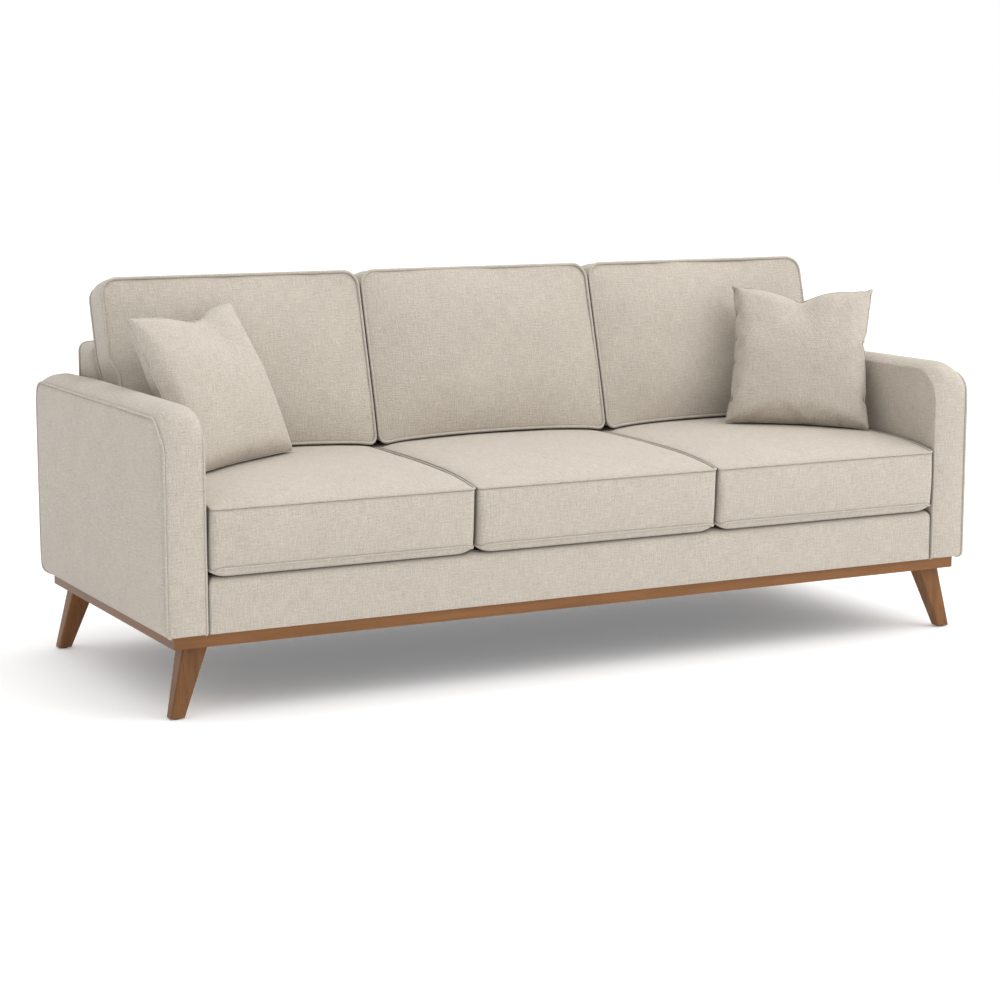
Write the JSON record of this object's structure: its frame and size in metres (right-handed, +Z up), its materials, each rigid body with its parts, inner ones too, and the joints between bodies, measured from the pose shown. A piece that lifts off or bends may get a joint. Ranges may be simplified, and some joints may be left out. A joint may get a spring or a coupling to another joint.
{
  "type": "sofa",
  "caption": "Sofa with slab arms, loose box seat and back cushions, knife-edge scatter cushions, and a wooden plinth on splayed tapered legs.",
  "frame": {"origin": "on the floor under the middle of the sofa's overall box", "axes": "+X to the right of a person facing the sofa, front towards -Y, +Z up"},
  "size_m": [2.062, 0.8622, 0.8812],
  "materials": {
    "upholstery_fabric": "greige linen-look plain weave with slubs and piped seams",
    "stained_wood": "satin mid-brown stain",
    "frame_timber": "bare sawn timber",
    "fibreboard": "bare hardboard",
    "cushion_foam": "open-cell foam with fibre wrap",
    "fibre_filling": "loose fibre in a light case",
    "platform_cloth": "plain deck cloth",
    "dust_cloth": "black non-woven cloth",
    "elastic_webbing": "woven elastic strap",
    "spring_steel": "oiled spring wire",
    "zinc_steel": "zinc plated",
    "glide_plastic": "matte"
  },
  "bodies": {
    "sofa_base": {"plinth_front_board": "stained_wood", "plinth_rear_board": "stained_wood", "plinth_left_board": "stained_wood", "plinth_right_board": "stained_wood", "front_left_leg": "stained_wood", "front_right_leg": "stained_wood", "rear_left_leg": "stained_wood", "rear_right_leg": "stained_wood", "leg_glides": "glide_plastic", "leg_blocks": "frame_timber", "leg_tee_nuts": "zinc_steel", "leg_bolts": "zinc_steel", "seat_front_rail": "frame_timber", "seat_rear_rail": "frame_timber", "seat_left_rail": "frame_timber", "seat_right_rail": "frame_timber", "seat_cross_rails": "frame_timber", "seat_corner_blocks": "frame_timber", "seat_springs": "spring_steel", "spring_clips": "zinc_steel", "deck_pad": "cushion_foam", "deck_cover": "platform_cloth", "dust_cover": "dust_cloth", "apron_padding": "cushion_foam", "apron_cover": "upholstery_fabric", "left_arm_front_post": "frame_timber", "left_arm_rear_post": "frame_timber", "left_arm_top_rail": "frame_timber", "left_arm_panels": "fibreboard", "left_arm_padding": "cushion_foam", "left_arm_cover": "upholstery_fabric", "right_arm_front_post": "frame_timber", "right_arm_rear_post": "frame_timber", "right_arm_top_rail": "frame_timber", "right_arm_panels": "fibreboard", "right_arm_padding": "cushion_foam", "right_arm_cover": "upholstery_fabric", "back_top_rail": "frame_timber", "back_lower_rails": "frame_timber", "back_uprights": "frame_timber", "back_webbing": "elastic_webbing", "back_padding": "cushion_foam", "back_cover": "upholstery_fabric"},
    "seat_cushion_left": {"seat_cushion_left_cover": "upholstery_fabric", "seat_cushion_left_core": "cushion_foam"},
    "back_cushion_left": {"back_cushion_left_cover": "upholstery_fabric", "back_cushion_left_filling": "fibre_filling"},
    "scatter_cushion_left": {"scatter_cushion_left_cover": "upholstery_fabric", "scatter_cushion_left_filling": "fibre_filling"},
    "seat_cushion_centre": {"seat_cushion_centre_cover": "upholstery_fabric", "seat_cushion_centre_core": "cushion_foam"},
    "back_cushion_centre": {"back_cushion_centre_cover": "upholstery_fabric", "back_cushion_centre_filling": "fibre_filling"},
    "seat_cushion_right": {"seat_cushion_right_cover": "upholstery_fabric", "seat_cushion_right_core": "cushion_foam"},
    "back_cushion_right": {"back_cushion_right_cover": "upholstery_fabric", "back_cushion_right_filling": "fibre_filling"},
    "scatter_cushion_right": {"scatter_cushion_right_cover": "upholstery_fabric", "scatter_cushion_right_filling": "fibre_filling"}
  },
  "joints": [
    {"name": "seat_cushion_left_lift", "type": "slide", "parent": "sofa_base", "child": "seat_cushion_left", "axis": [0, 0, 1], "range_m": [0, 0.4]},
    {"name": "back_cushion_left_lift", "type": "slide", "parent": "seat_cushion_left", "child": "back_cushion_left", "axis": [0, 0, 1], "range_m": [0, 0.3]},
    {"name": "scatter_cushion_left_lift", "type": "slide", "parent": "back_cushion_left", "child": "scatter_cushion_left", "axis": [0, 0, 1], "range_m": [0, 0.25]},
    {"name": "seat_cushion_centre_lift", "type": "slide", "parent": "sofa_base", "child": "seat_cushion_centre", "axis": [0, 0, 1], "range_m": [0, 0.4]},
    {"name": "back_cushion_centre_lift", "type": "slide", "parent": "seat_cushion_centre", "child": "back_cushion_centre", "axis": [0, 0, 1], "range_m": [0, 0.3]},
    {"name": "seat_cushion_right_lift", "type": "slide", "parent": "sofa_base", "child": "seat_cushion_right", "axis": [0, 0, 1], "range_m": [0, 0.4]},
    {"name": "back_cushion_right_lift", "type": "slide", "parent": "seat_cushion_right", "child": "back_cushion_right", "axis": [0, 0, 1], "range_m": [0, 0.3]},
    {"name": "scatter_cushion_right_lift", "type": "slide", "parent": "back_cushion_right", "child": "scatter_cushion_right", "axis": [0, 0, 1], "range_m": [0, 0.25]}
  ]
}
